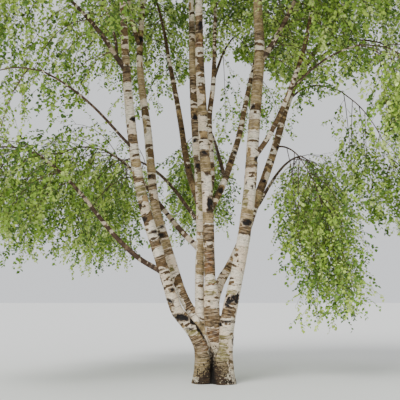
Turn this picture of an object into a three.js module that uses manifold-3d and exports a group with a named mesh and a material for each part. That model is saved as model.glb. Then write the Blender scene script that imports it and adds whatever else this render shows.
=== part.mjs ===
// A many-stemmed Himalayan birch: a short double trunk that forks low into a vase of pale stems, boughs that
// rise and then arch over, and an airy crown of separate foliage masses that weep at their tips.
// Millimetres and degrees. +X is to the viewer's right, +Y away from the viewer and +Z up. The origin is the
// middle of the flat cut at ground level.

import * as THREE from "three";
import { mergeVertices } from "three/addons/utils/BufferGeometryUtils.js";
import Module from "manifold-3d";

const wasm = await Module();
wasm.setup();

// Driving dimensions
const GAP = 0.3; // air between two neighbouring solids

// Each kind of limb and twig: how many rings it is bent at, how many sides it has, and the power of the way along
// by which it thins, where a higher one keeps it thick for longer.
const ARM = { rings: 8, sides: 12, taper: 1 };
const STEM = { rings: 10, sides: 12, taper: 2 };
const FORK = { rings: 9, sides: 10, taper: 1.8 };
const BOUGH = { rings: 6, sides: 6, taper: 1.3 };
const LEADER = { rings: 4, sides: 3, foot: 0.9, tip: 10 }; // its foot is this share of its limb's tip
const SHOOT = { rings: 1, sides: 3, radii: [14, 9] };

// The root flare widens each trunk towards the ground and gives it rounded buttresses. The collar is a low mound
// that fuses the trunks at the ground, and the web closes the slit between them from behind.
const FLARE_HEIGHT = 230;
const FLARE_SHARE = 0.38;
const BUTTRESSES = 5;
const BUTTRESS_SHARE = 0.07;
const BELOW_GROUND = 120; // how far the trunks run on before the flat cut trims them
const COLLAR = { x: -50, y: 100, height: 510, top: 60, foot: 310 };
const WEB = { x: -45, y: 95, height: 1020, top: 70, foot: 110 };
const SOIL = 3000;

// Foliage
const FIRST_SHOOT = 0.12; // shares of the leader
const LAST_SHOOT = 0.9;
const GOLDEN_TURN = 137.5;
const TURN_MORE = 40;
const SPREAD = 47; // degrees between a shoot and its leader
const SPREAD_MORE = 16;
const SHOOT_LENGTH = 0.62; // shares of the mass's reach
const SHOOT_LESS = 0.2;
const SHOOT_VARIES = 0.15;
const SHOOT_DROOP = 0.8; // how much a shoot bends down for each metre
const SPRAY = { length: 1200, width: 0.48, thickness: 0.015, widest: 0.4, sunk: 0.05, hang: 0.2 };
const SIDE_SPRAY = 0.5; // share of a shoot where its side spray stands
const SPRAY_SPREAD = 48;
const SPRAY_TILT = 44; // degrees that a spray is turned from level, so that it shows from the side and from above
const SPRAY_APART = 345; // between two sprays' middle lines
const SPACE_MARGIN = 20; // clear of the next mass's space
const LIMB_MARGIN = 24; // clear of a limb
const TRIMS = [1, 0.8, 0.64, 0.5, 0.4]; // a twig is cut back by these shares until it fits
const FIRST_SEED = 7873;

// The trunk's arms. foot is where the arm's middle line starts. leans are the degrees from upright to the right,
// as seen from the front, at even steps along it, and backs the degrees away from the viewer. girth holds the
// diameters from its foot to its end.
const ARMS = {
  left: {
    foot: [-250, 0, -BELOW_GROUND],
    leans: [0, 1, -8, -36, -41, -20, -16],
    backs: [-3],
    length: 2150,
    girth: [310, 216],
    flared: true,
  },
  left_inner: {
    foot: [-275, 30, 720],
    leans: [2, -14, -27, -32, -24, -18],
    backs: [6],
    length: 1260,
    girth: [220, 190],
  },
  right: {
    foot: [160, -50, -BELOW_GROUND],
    leans: [0, 0, 4, 11, 12, 13],
    backs: [-2],
    length: 2100,
    girth: [372, 256],
    flared: true,
  },
  middle: {
    foot: [175, -60, 470],
    leans: [-34, -19, 0, -3, -5],
    backs: [-3],
    length: 1580,
    girth: [230, 280, 306, 296, 216],
  },
  middle_right: {
    foot: [-60, -20, 1000],
    leans: [2, 6, 22, 36],
    backs: [14, 20],
    length: 1290,
    girth: [230, 182],
  },
  middle_knee: {
    foot: [-20, 0, 690],
    leans: [-40, -34],
    backs: [3],
    length: 600,
    girth: [200, 240],
  },
  middle_left: {
    foot: [-284, 10, 1000],
    leans: [-2, -2, -1, 0],
    backs: [6.5],
    length: 1020,
    girth: [200, 180],
  },
};

// The kinds of foliage mass. leader is the length of a mass's middle twig, which goes on from its limb's tip, and
// droop how much that bends down for each metre. reach is half the mass's width and tall half its height. Its
// middle is the share along of the leader, lowered by sag, and shoots is how many shoots the leader bears.
const TOP = { leader: 2500, shoots: 6, droop: 0.05, reach: 2100, tall: 2600, along: 0.5, sag: 600 };
const SIDE = { leader: 2000, shoots: 6, droop: 0.8, reach: 2150, tall: 2600, along: 0.5, sag: 1400 };
const WEEPING = { leader: 2100, shoots: 5, droop: 0.8, reach: 2050, tall: 2400, along: 0.5, sag: 800 };

// Stems and boughs. A limb goes on from an arm's end (after), or leaves another limb at a height (on, at), and
// each carries a mass of foliage at its tip.
const LIMBS = {
  stem_left_outer: {
    after: "left",
    leans: [-17, -18, -14, -8, -6, -4, -3, -3, -5, -8],
    backs: [-7],
    length: 7700,
    girth: [216, 44],
    foliage: TOP,
  },
  stem_left_inner: {
    after: "left_inner",
    leans: [-17, -19, -7, -6, -10, 1, 3, 4, 2],
    backs: [4, 4, 4, 8, 12],
    length: 8300,
    girth: [190, 44],
    foliage: TOP,
  },
  stem_left_fork: {
    on: "stem_left_inner",
    at: 6980,
    leans: [-20, -11, -13, -24, -30],
    backs: [0, 0, -3, -6],
    length: 3100,
    girth: [96, 38],
    foliage: SIDE,
  },
  stem_middle_left: {
    after: "middle_left",
    leans: [3, 0, -4, -4, -2, -1, -1, 1, 2, 2],
    backs: [3],
    length: 9000,
    girth: [180, 42],
    foliage: TOP,
  },
  stem_middle_front: {
    after: "middle",
    leans: [-2, -1, -4, -3, -3, -1, 0, -1, -2, -3],
    backs: [-3, -3, -4, -9, -14],
    length: 8500,
    girth: [216, 42],
    foliage: TOP,
  },
  stem_middle_back: {
    on: "stem_middle_front",
    at: 3480,
    leans: [18, -1, -4, 7, 3, 1, 2, 4, 6],
    backs: [50, 10, 8, 8, 8, 10, 14, 18],
    length: 6100,
    girth: [124, 38],
    foliage: SIDE,
  },
  stem_right_main: {
    after: "right",
    leans: [12, 9, 4, 5, 5, -2, 0, 3, 7, 9],
    backs: [-3],
    length: 9100,
    girth: [256, 46],
    foliage: TOP,
  },
  stem_right_outer: {
    after: "middle_right",
    leans: [33, 20, 20, 22, 15, 17, 29, 34, 32, 22, 14],
    backs: [9, 5, 7],
    length: 7600,
    girth: [182, 38],
    foliage: SIDE,
  },
  stem_right_inner: {
    on: "stem_right_main",
    at: 4280,
    leans: [40, 28, 22, 19, 9, 12, 20, 26],
    backs: [-8, -8, -9, -16, -22],
    length: 5080,
    girth: [104, 36],
    foliage: SIDE,
  },
  stem_back_left: {
    on: "stem_middle_left",
    at: 3480,
    leans: [-22, -13, -8, -10, -11, -9, -13, -16],
    backs: [30, 14, 12, 12, 14, 22],
    length: 5700,
    girth: [138, 38],
    foliage: SIDE,
  },
  stem_back_right: {
    on: "stem_middle_front",
    at: 3230,
    leans: [30, 20, 17, 10, 14, 12, 10, 11],
    backs: [18, 24, 16, 16, 18, 20],
    length: 6000,
    girth: [136, 38],
    foliage: SIDE,
  },
  bough_low_left: {
    on: "stem_left_outer",
    at: 2080,
    leans: [-67, -51, -41, -38, -45, -54],
    backs: [-10],
    length: 3300,
    girth: [108, 46],
    foliage: WEEPING,
  },
  bough_arch_left: {
    on: "stem_middle_left",
    at: 2560,
    leans: [-48, -40, -37, -37, -48, -62],
    backs: [26, 20, 10, 8, 10],
    length: 3200,
    girth: [124, 40],
    foliage: WEEPING,
  },
  bough_high_left: {
    on: "stem_left_outer",
    at: 6000,
    leans: [-38, -34, -42, -46, -48],
    backs: [-14, -10],
    length: 2200,
    girth: [106, 38],
    foliage: SIDE,
  },
  bough_high_left_rear: {
    on: "bough_high_left",
    at: 6260,
    leans: [-2, -14, -20, -23, -28],
    backs: [26, 18, 18],
    length: 2300,
    girth: [62, 34],
    foliage: SIDE,
  },
  bough_right_high: {
    on: "stem_right_main",
    at: 6280,
    leans: [42, 30, 26, 22, 18],
    backs: [-9, -6, 4, 16],
    length: 2200,
    girth: [126, 40],
    foliage: SIDE,
  },
  bough_arch_right_low: {
    on: "stem_right_outer",
    at: 5870,
    leans: [36, 62, 100, 120],
    backs: [6, -8],
    length: 1300,
    girth: [48, 30],
    foliage: WEEPING,
  },
  bough_arch_right_middle: {
    on: "stem_right_outer",
    at: 6160,
    leans: [46, 34, 54, 96, 112],
    backs: [4, -2, -16],
    length: 2200,
    girth: [58, 30],
    foliage: WEEPING,
  },
  bough_arch_right_high: {
    on: "stem_right_outer",
    at: 7090,
    leans: [52, 72, 84, 98],
    backs: [16, 12],
    length: 1700,
    girth: [56, 32],
    foliage: WEEPING,
  },
  bough_hanging_right: {
    on: "stem_right_outer",
    at: 4800,
    leans: [78, 122, 146],
    backs: [-22, -10],
    length: 620,
    girth: [38, 26],
    foliage: WEEPING,
  },
  bough_back_low_left: {
    on: "stem_middle_left",
    at: 3080,
    leans: [-36, -33, -40, -52, -66],
    backs: [38, 36, 40, 46, 54],
    length: 3500,
    girth: [86, 38],
    foliage: WEEPING,
  },
  bough_back_low: {
    on: "stem_back_right",
    at: 4000,
    leans: [-8, -10, -10, -16, -30],
    backs: [50, 44, 50, 62, 78],
    length: 3200,
    girth: [78, 38],
    foliage: WEEPING,
  },
  bough_back_low_right: {
    on: "stem_right_outer",
    at: 3300,
    leans: [36, 30, 34, 46, 62],
    backs: [40, 38, 42, 48, 54],
    length: 3200,
    girth: [80, 38],
    foliage: WEEPING,
  },
  bough_back_high: {
    on: "stem_middle_back",
    at: 6200,
    leans: [14, 14, 20, 30],
    backs: [42, 38, 42, 52],
    length: 2500,
    girth: [62, 34],
    foliage: SIDE,
  },
  bough_front: {
    on: "stem_middle_front",
    at: 7650,
    leans: [0, 2, 2, 4],
    backs: [-46, -40, -48, -60],
    length: 2300,
    girth: [68, 34],
    foliage: SIDE,
  },
  bough_front_left: {
    on: "stem_left_outer",
    at: 7300,
    leans: [-20, -18, -24, -32],
    backs: [-40, -34, -40, -48],
    length: 1900,
    girth: [60, 32],
    foliage: SIDE,
  },
  bough_front_right: {
    on: "stem_right_main",
    at: 7500,
    leans: [18, 14, 16, 22],
    backs: [-38, -34, -40, -48],
    length: 2500,
    girth: [72, 34],
    foliage: SIDE,
  },
  bough_low_front_right: {
    on: "stem_right_inner",
    at: 5650,
    leans: [48, 54, 72, 92],
    backs: [-34, -40],
    length: 1650,
    girth: [46, 28],
    foliage: WEEPING,
  },
  bough_low_front_left: {
    on: "stem_left_outer",
    at: 4450,
    leans: [-46, -44, -56, -72],
    backs: [-28, -34],
    length: 2300,
    girth: [60, 32],
    foliage: WEEPING,
  },
};

const BARK_COLOUR = 0xd3cbb9;
const BOUGH_COLOUR = 0x6d5140;
const LEAF_COLOUR = 0x6f9a2c;

const UP = new THREE.Vector3(0, 0, 1);
const bark = new THREE.MeshStandardMaterial({ color: BARK_COLOUR, roughness: 0.75, metalness: 0 });
const boughBark = new THREE.MeshStandardMaterial({ color: BOUGH_COLOUR, roughness: 0.8, metalness: 0 });
const foliage = new THREE.MeshStandardMaterial({ color: LEAF_COLOUR, roughness: 0.55, metalness: 0 });

// The direction that leans so many degrees to the right of upright, and so many away from the viewer.
function direction(lean, back) {
  const [side, depth] = [lean, back].map(THREE.MathUtils.degToRad);
  return new THREE.Vector3(
    Math.sin(side) * Math.cos(depth),
    Math.sin(depth),
    Math.cos(side) * Math.cos(depth),
  );
}

// The value at share t of a list of values that stand at even steps.
function between(values, t) {
  const place = t * (values.length - 1);
  const i = Math.max(Math.min(Math.floor(place), values.length - 2), 0);
  return THREE.MathUtils.lerp(values[i], values[i + 1] ?? values[i], place - i);
}

// The path of a limb or twig: its points and, at each, the way along it and a side direction that doesn't twist.
// start gives the first way and side where the path goes on from another.
function framed(points, start = {}) {
  const ways = points.map((_, i) => {
    const before = points[Math.max(i - 1, 0)];
    const after = points[Math.min(i + 1, points.length - 1)];
    return after.clone().sub(before).normalize();
  });
  if (start.way) ways[0] = start.way.clone();
  let side = start.side ?? new THREE.Vector3(0, 1, 0);
  if (Math.abs(side.dot(ways[0])) > 0.9) side = new THREE.Vector3(1, 0, 0);
  const sides = ways.map((way) => {
    side = side.clone().addScaledVector(way, -side.dot(way)).normalize();
    return side;
  });
  return { points, ways, sides };
}

function limbPath({ leans, backs, length, girth }, { rings, sides, taper }, start) {
  const points = [start.foot.clone()];
  for (let i = 0; i < rings; i++) {
    const share = (i + 0.5) / rings;
    const way = direction(between(leans, share), between(backs, share));
    points.push(points[i].clone().addScaledVector(way, length / rings));
  }
  const radii = points.map((_, i) => between(girth, (i / rings) ** taper) / 2);
  return { ...framed(points, start), radii, around: sides };
}

// A path's point at a height, on its way up.
function pointAtHeight(path, height) {
  const i = path.points.findIndex((point) => point.z >= height);
  const [low, high] = [path.points[i - 1], path.points[i]];
  return low.clone().lerp(high, (height - low.z) / (high.z - low.z));
}

// A closed tube along a path, made by bending a cylinder, or a cone where the path ends in a point. margin widens
// it, and swell changes a ring's radius by its height and the angle round it.
function tube(path, margin = 0, swell = () => 1) {
  const rings = path.points.length - 1;
  const geometry = new THREE.CylinderGeometry(path.radii.at(-1) ? 1 : 0, 1, 1, path.around, rings);
  const place = geometry.getAttribute("position");
  for (let i = 0; i < place.count; i++) {
    const ring = Math.round((place.getY(i) + 0.5) * rings);
    const [x, z] = [place.getX(i), place.getZ(i)];
    const angle = Math.atan2(z, x);
    const onRim = x !== 0 || z !== 0;
    const radius = onRim ? path.radii[ring] * swell(path.points[ring].z, angle) + margin : 0;
    const across = path.sides[ring].clone().cross(path.ways[ring]);
    const vertex = path.points[ring].clone();
    vertex.addScaledVector(path.sides[ring], Math.cos(angle) * radius);
    vertex.addScaledVector(across, Math.sin(angle) * radius * (path.flats?.[ring] ?? 1));
    place.setXYZ(i, ...vertex);
  }
  return solid(geometry);
}

// The root flare and its buttresses, as a factor on a trunk's radius.
function flare(height, angle) {
  const nearGround = Math.exp(-Math.max(height, 0) / FLARE_HEIGHT);
  return 1 + nearGround * (FLARE_SHARE + BUTTRESS_SHARE * Math.cos(BUTTRESSES * angle));
}

function solid(geometry) {
  geometry.deleteAttribute("normal");
  geometry.deleteAttribute("uv");
  const merged = mergeVertices(geometry, 1e-3);
  return new wasm.Manifold(
    new wasm.Mesh({
      numProp: 3,
      vertProperties: new Float32Array(merged.getAttribute("position").array),
      triVerts: new Uint32Array(merged.index.array),
    }),
  );
}

function joined(solids) {
  return solids.reduce((whole, next) => whole.add(next));
}

// The largest piece of a solid: loose scraps are dropped.
function largest(whole) {
  return whole.decompose().reduce((a, b) => (a.volume() > b.volume() ? a : b));
}

function meshOf(name, made, material) {
  const { vertProperties, triVerts } = made.getMesh();
  const geometry = new THREE.BufferGeometry();
  geometry.setAttribute("position", new THREE.BufferAttribute(vertProperties, 3));
  geometry.setIndex(new THREE.BufferAttribute(triVerts, 1));
  const mesh = new THREE.Mesh(geometry, material);
  mesh.name = name;
  return mesh;
}

// The trunk: its arms fused at the root collar and cut flat at ground level.
const armPaths = {};
function trunkSolid() {
  const arms = Object.entries(ARMS).map(([name, arm]) => {
    armPaths[name] = limbPath(arm, ARM, { foot: new THREE.Vector3(...arm.foot) });
    return tube(armPaths[name], 0, arm.flared && flare);
  });
  const soil = new THREE.BoxGeometry(SOIL, SOIL, SOIL);
  soil.translate(0, 0, -SOIL / 2);
  return largest(joined([...arms, mound(COLLAR), mound(WEB)]).subtract(solid(soil)));
}

// A cone that stands in the ground and fills between the trunks.
function mound({ x, y, height, top, foot }) {
  const cone = new THREE.CylinderGeometry(top, foot, height, ARM.sides);
  cone.rotateX(Math.PI / 2);
  cone.translate(x, y, height / 2 - BELOW_GROUND);
  return solid(cone);
}

// Where a limb starts: a hair beyond its arm's end, or on the middle line of the limb that it leaves.
const limbPaths = {};
function startOf({ after, on, at }) {
  if (on) return { foot: pointAtHeight(limbPaths[on], at) };
  const { points, ways, sides } = armPaths[after];
  const way = ways.at(-1);
  return { foot: points.at(-1).clone().addScaledVector(way, GAP), way, side: sides.at(-1) };
}

function limbSolid(name, limb) {
  const kind = limb.after ? STEM : name.startsWith("stem") ? FORK : BOUGH;
  limbPaths[name] = limbPath(limb, kind, startOf(limb));
  const whole = tube(limbPaths[name]);
  return limb.after ? whole : largest(whole.subtract(tube(limbPaths[limb.on], GAP)));
}

// A mass's place: its leader starts a hair beyond its limb's tip.
function seat(name, { foliage }) {
  const { points, ways, sides, radii } = limbPaths[name];
  const way = ways.at(-1);
  const start = { foot: points.at(-1).clone().addScaledVector(way, GAP), way, side: sides.at(-1) };
  const thinning = [radii.at(-1) * LEADER.foot, LEADER.tip];
  const leader = twigPath({ start, length: foliage.leader, droop: foliage.droop, radii: thinning, twig: LEADER });
  const middle = placeAlong(leader, foliage.along).foot;
  middle.z -= foliage.sag;
  return { ...foliage, name, leader, middle };
}

// Whether a point lies in a mass's own space: its egg shape, on its own side of the plane to each other mass.
let seats = [];
function inSpace(point, own, margin) {
  const off = point.clone().sub(own.middle);
  const egg = (off.x ** 2 + off.y ** 2) / own.reach ** 2 + off.z ** 2 / own.tall ** 2;
  if (egg > 1) return false;
  const mine = off.lengthSq() - own.reach ** 2;
  return seats.every((other) => {
    if (other === own) return true;
    const theirs = point.distanceToSquared(other.middle) - other.reach ** 2;
    return theirs - mine >= 2 * own.middle.distanceTo(other.middle) * margin;
  });
}

// Whether a point stays clear of every limb by a margin.
function clearOfLimbs(point, margin) {
  const stretch = new THREE.Line3();
  const nearest = new THREE.Vector3();
  return Object.values(limbPaths).every(({ points, radii }) =>
    points.slice(1).every((end, i) => {
      stretch.set(points[i], end).closestPointToPoint(point, true, nearest);
      return point.distanceTo(nearest) > radii[i] + margin;
    }),
  );
}

// Even numbers from 0 to 1, the same for the same seed.
function dice(seed) {
  let state = seed;
  return () => {
    state = (state * 16807) % 2147483647;
    return state / 2147483647;
  };
}

// A twig's path: it starts out one way and bends down by droop for each metre. Only a leader's foot has to face
// its limb's tip squarely.
function twigPath({ start, length, droop, radii, twig }) {
  const points = [start.foot.clone()];
  const way = start.way.clone();
  const step = length / twig.rings;
  for (let i = 0; i < twig.rings; i++) {
    way.addScaledVector(UP, (-droop * step) / 1000).normalize();
    points.push(points[i].clone().addScaledVector(way, step));
  }
  const thinning = points.map((_, i) => THREE.MathUtils.lerp(...radii, i / twig.rings));
  const facing = twig === LEADER ? start : { side: tilted(points[1].clone().sub(points[0]).normalize()) };
  return { ...framed(points, facing), radii: thinning, around: twig.sides };
}

function placeAlong({ points, sides }, share) {
  const place = share * (points.length - 1);
  const i = Math.min(Math.floor(place), points.length - 2);
  return {
    foot: points[i].clone().lerp(points[i + 1], place - i),
    way: points[i + 1].clone().sub(points[i]).normalize(),
    side: sides[i],
  };
}

// The start of a shoot that leaves a twig at a spread, turned round it.
function offshoot({ foot, way, side }, spread, turn) {
  const out = side.clone().applyAxisAngle(way, THREE.MathUtils.degToRad(turn));
  const lean = THREE.MathUtils.degToRad(spread);
  const leaving = way.clone().multiplyScalar(Math.cos(lean)).addScaledVector(out, Math.sin(lean)).normalize();
  return { foot, way: leaving, side: tilted(leaving) };
}

// The direction across a twig that its leaf spray spreads along: level, and then tilted round the twig.
function tilted(way) {
  const level = new THREE.Vector3().crossVectors(way, UP);
  const across = level.lengthSq() > 0.01 ? level.normalize() : new THREE.Vector3(1, 0, 0);
  return across.applyAxisAngle(way, THREE.MathUtils.degToRad(SPRAY_TILT));
}

// The same twig with a leaf spray beyond its tip: the twig widens into a thin blade that ends in a point. The twig
// is turned about itself so that its corners run on into the blade's without a twist.
function leafy({ points, ways, sides, radii, around }, length) {
  const [tip, way] = [points.at(-1), ways.at(-1).clone().addScaledVector(UP, -SPRAY.hang).normalize()];
  const side = tilted(way);
  const last = sides.at(-1);
  const turn = Math.atan2(way.dot(last.clone().cross(side)), last.dot(side));
  const [widest, end] = [SPRAY.widest, 1].map((share) => tip.clone().addScaledVector(way, share * length));
  return {
    points: [...points, widest, end],
    ways: [...ways, way, way],
    sides: [...sides.map((own, i) => own.clone().applyAxisAngle(ways[i], turn)), side, side],
    radii: [...radii, (SPRAY.width * length) / 2, 0],
    flats: [...points.map(() => 1), SPRAY.thickness / SPRAY.width, 1],
    around,
    blade: new THREE.Line3(widest, end),
  };
}

// A leaf spray on a twig's side: a long, thin octahedron whose root is sunk in the twig.
function sideSpray({ foot, way }, length) {
  const [half, thick] = [(SPRAY.width * length) / 2, (SPRAY.thickness * length) / 2];
  const geometry = new THREE.OctahedronGeometry(1);
  const place = geometry.getAttribute("position");
  for (let i = 0; i < place.count; i++) {
    const along = [-SPRAY.sunk, SPRAY.widest, 1][Math.sign(Math.round(place.getY(i))) + 1];
    place.setXYZ(i, place.getX(i) * half, along * length, place.getZ(i) * thick);
  }
  const side = tilted(way);
  const facing = new THREE.Vector3().crossVectors(side, way);
  geometry.applyMatrix4(new THREE.Matrix4().makeBasis(side, way, facing).setPosition(foot));
  return solid(geometry);
}

// Whether a twig keeps to its mass's space, clear of the limbs and apart from the sprays that are there.
function fits({ points, sides, radii, blade }, own, sprays) {
  const nearest = new THREE.Vector3();
  const apart = (point) =>
    sprays.every((other) => other.closestPointToPoint(point, true, nearest).distanceTo(point) > SPRAY_APART);
  const inside = points.slice(1).every((point, i) =>
    [-1, 1].every((hand) => {
      const corner = point.clone().addScaledVector(sides[i + 1], hand * radii[i + 1]);
      return inSpace(corner, own, SPACE_MARGIN);
    }),
  );
  const clear = points.slice(1).every((end, i) =>
    [0.25, 0.5, 0.75, 1].every((share) => {
      const radius = THREE.MathUtils.lerp(radii[i], radii[i + 1], share);
      return clearOfLimbs(points[i].clone().lerp(end, share), LIMB_MARGIN + radius);
    }),
  );
  return inside && clear && [blade.start, blade.getCenter(new THREE.Vector3()), blade.end].every(apart);
}

// Cuts a path back to its stretch in a mass's space, and keeps its first step at least.
function cutBack({ points, ways, sides, radii, around }, own) {
  const out = points.findIndex((point) => !inSpace(point, own, SPACE_MARGIN + radii[0]));
  const kept = [points, ways, sides, radii].map((list) => (out < 0 ? list : list.slice(0, Math.max(out, 2))));
  return { points: kept[0], ways: kept[1], sides: kept[2], radii: kept[3], around };
}

// One mass: its leader, and shoots that leave it by the golden turn and end in a leaf spray. Every other shoot
// has a second spray on its side. A twig that doesn't fit is tried shorter, and at last left out.
function foliageSolid(own, seed) {
  const roll = dice(seed);
  const sprays = [];
  const trimmed = (make) => TRIMS.map(make).find((path) => fits(path, own, sprays));
  const leader = cutBack(own.leader, own);
  const tip = trimmed((trim) => leafy(leader, SPRAY.length * trim));
  if (tip) sprays.push(tip.blade);
  const parts = [tube(tip ?? leader)];
  for (let k = 0; k < own.shoots; k++) {
    const share = THREE.MathUtils.lerp(FIRST_SHOOT, LAST_SHOOT, k / (own.shoots - 1));
    const turn = k * GOLDEN_TURN + TURN_MORE * roll();
    const start = offshoot(placeAlong(leader, share), SPREAD + SPREAD_MORE * roll(), turn);
    const varied = 1 + SHOOT_VARIES * (2 * roll() - 1);
    const full = own.reach * (SHOOT_LENGTH - SHOOT_LESS * share) * varied;
    const droop = SHOOT_DROOP + own.droop / 2;
    const shoot = trimmed((trim) =>
      leafy(twigPath({ start, length: full * trim, droop, radii: SHOOT.radii, twig: SHOOT }), SPRAY.length * trim),
    );
    if (!shoot) continue;
    sprays.push(shoot.blade);
    parts.push(tube(shoot));
    if (k % 2) continue;
    const stalk = { ...shoot, points: shoot.points.slice(0, SHOOT.rings + 1) };
    const from = offshoot(placeAlong(stalk, SIDE_SPRAY), SPRAY_SPREAD, 90 + 180 * k);
    const bud = { ...framed([from.foot], from), radii: [SHOOT.radii[1]] };
    const side = trimmed((trim) => leafy(bud, SPRAY.length * trim));
    if (!side) continue;
    sprays.push(side.blade);
    parts.push(sideSpray({ foot: from.foot, way: side.ways.at(-1) }, side.blade.end.distanceTo(from.foot)));
  }
  return largest(joined(parts));
}

const birch = new THREE.Group();
birch.add(meshOf("trunk", trunkSolid(), bark));
for (const [name, limb] of Object.entries(LIMBS)) {
  birch.add(meshOf(name, limbSolid(name, limb), name.startsWith("stem") ? bark : boughBark));
}
seats = Object.entries(LIMBS).map(([name, limb]) => seat(name, limb));
seats.forEach((own, index) => {
  const name = own.name.replace(/^[a-z]+/, "foliage");
  birch.add(meshOf(name, foliageSolid(own, FIRST_SEED + index), foliage));
});

export default birch;
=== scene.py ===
# %% [markdown]
# A many-stemmed Himalayan birch, dressed in Blender
# The CAD model holds the tree's solids: a trunk, stems, boughs and simple masses of foliage. They are the
# frame here. The same limbs get a smooth, marked bark, and each mass becomes fine twigs and leaves. The scene
# is in metres, with +Z up and the origin at ground level. The tables are in millimetres and degrees.

# %% Load the frame
from types import SimpleNamespace

import bmesh
import bpy
import numpy as np
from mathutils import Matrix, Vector, noise
from mathutils.kdtree import KDTree


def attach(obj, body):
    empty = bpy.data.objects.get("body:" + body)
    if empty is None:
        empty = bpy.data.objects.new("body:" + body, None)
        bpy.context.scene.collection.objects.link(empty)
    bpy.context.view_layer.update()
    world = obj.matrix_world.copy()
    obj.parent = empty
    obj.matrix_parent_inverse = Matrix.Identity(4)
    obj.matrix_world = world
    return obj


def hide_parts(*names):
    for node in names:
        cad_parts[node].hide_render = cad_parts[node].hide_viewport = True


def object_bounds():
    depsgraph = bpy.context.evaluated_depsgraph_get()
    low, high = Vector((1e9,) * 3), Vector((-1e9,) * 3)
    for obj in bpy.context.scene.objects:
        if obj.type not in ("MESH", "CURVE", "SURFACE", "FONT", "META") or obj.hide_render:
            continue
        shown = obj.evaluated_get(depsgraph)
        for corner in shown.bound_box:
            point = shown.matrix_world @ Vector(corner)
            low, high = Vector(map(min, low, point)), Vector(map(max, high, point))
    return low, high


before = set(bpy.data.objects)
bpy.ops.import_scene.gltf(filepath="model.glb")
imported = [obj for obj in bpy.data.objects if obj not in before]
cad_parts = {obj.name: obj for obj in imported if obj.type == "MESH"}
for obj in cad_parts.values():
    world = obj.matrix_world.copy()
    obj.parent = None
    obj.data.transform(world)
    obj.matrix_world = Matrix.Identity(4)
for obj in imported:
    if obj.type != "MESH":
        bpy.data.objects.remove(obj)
cad_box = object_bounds()
MM = 0.001
UP = np.array([0.0, 0.0, 1.0])
print("nodes", len(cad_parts), "from", cad_box[0][:], "to", cad_box[1][:])

# %% [markdown]
# How a limb is written down
# A limb could be drawn as a curve, point by point. Here it is written as a grower would say it: where it
# starts, how far it leans to the right and away from the viewer at even steps along it, how long it is, and
# its diameters. The CAD source uses the same values, so the bark lies on the solids. The trunk is a bundle of
# arms that have grown together.

# %% The trunk's arms
GAP = 0.3 * MM
ARM = {"rings": 8, "taper": 1.0}
STEM = {"rings": 10, "taper": 2.0}
FORK = {"rings": 9, "taper": 1.8}
BOUGH = {"rings": 6, "taper": 1.3}
ARMS = {  # foot, length, diameters from foot to end, leans to the right and leans to the back
    "left": ((-250, 0, -120), 2150, (310, 216), [0, 1, -8, -36, -41, -20, -16], [-3]),
    "left_inner": ((-275, 30, 720), 1260, (220, 190), [2, -14, -27, -32, -24, -18], [6]),
    "right": ((160, -50, -120), 2100, (372, 256), [0, 0, 4, 11, 12, 13], [-2]),
    "middle": ((175, -60, 470), 1580, (230, 280, 306, 296, 216), [-34, -19, 0, -3, -5], [-3]),
    "middle_right": ((-60, -20, 1000), 1290, (230, 182), [2, 6, 22, 36], [14, 20]),
    "middle_knee": ((-20, 0, 690), 600, (200, 240), [-40, -34], [3]),
    "middle_left": ((-284, 10, 1000), 1020, (200, 180), [-2, -2, -1, 0], [6.5]),
}
ARMS = {name: dict(zip(("foot", "length", "girth", "leans", "backs"), row)) for name, row in ARMS.items()}
FLARED = ("left", "right")

# %% [markdown]
# Stems, boughs and the foliage they carry
# A stem goes on from an arm, and a fork or bough leaves another limb at a height. Each carries one mass of
# foliage at its tip: upright at the top, spreading at the sides or weeping below. A row says what carries the
# limb and at what height, or None for the end of an arm. Then come its length, its diameters at both ends,
# its foliage, its leans to the right and to the back, and how brown its bark is, from 0 for white to 1 for
# dark.

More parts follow.
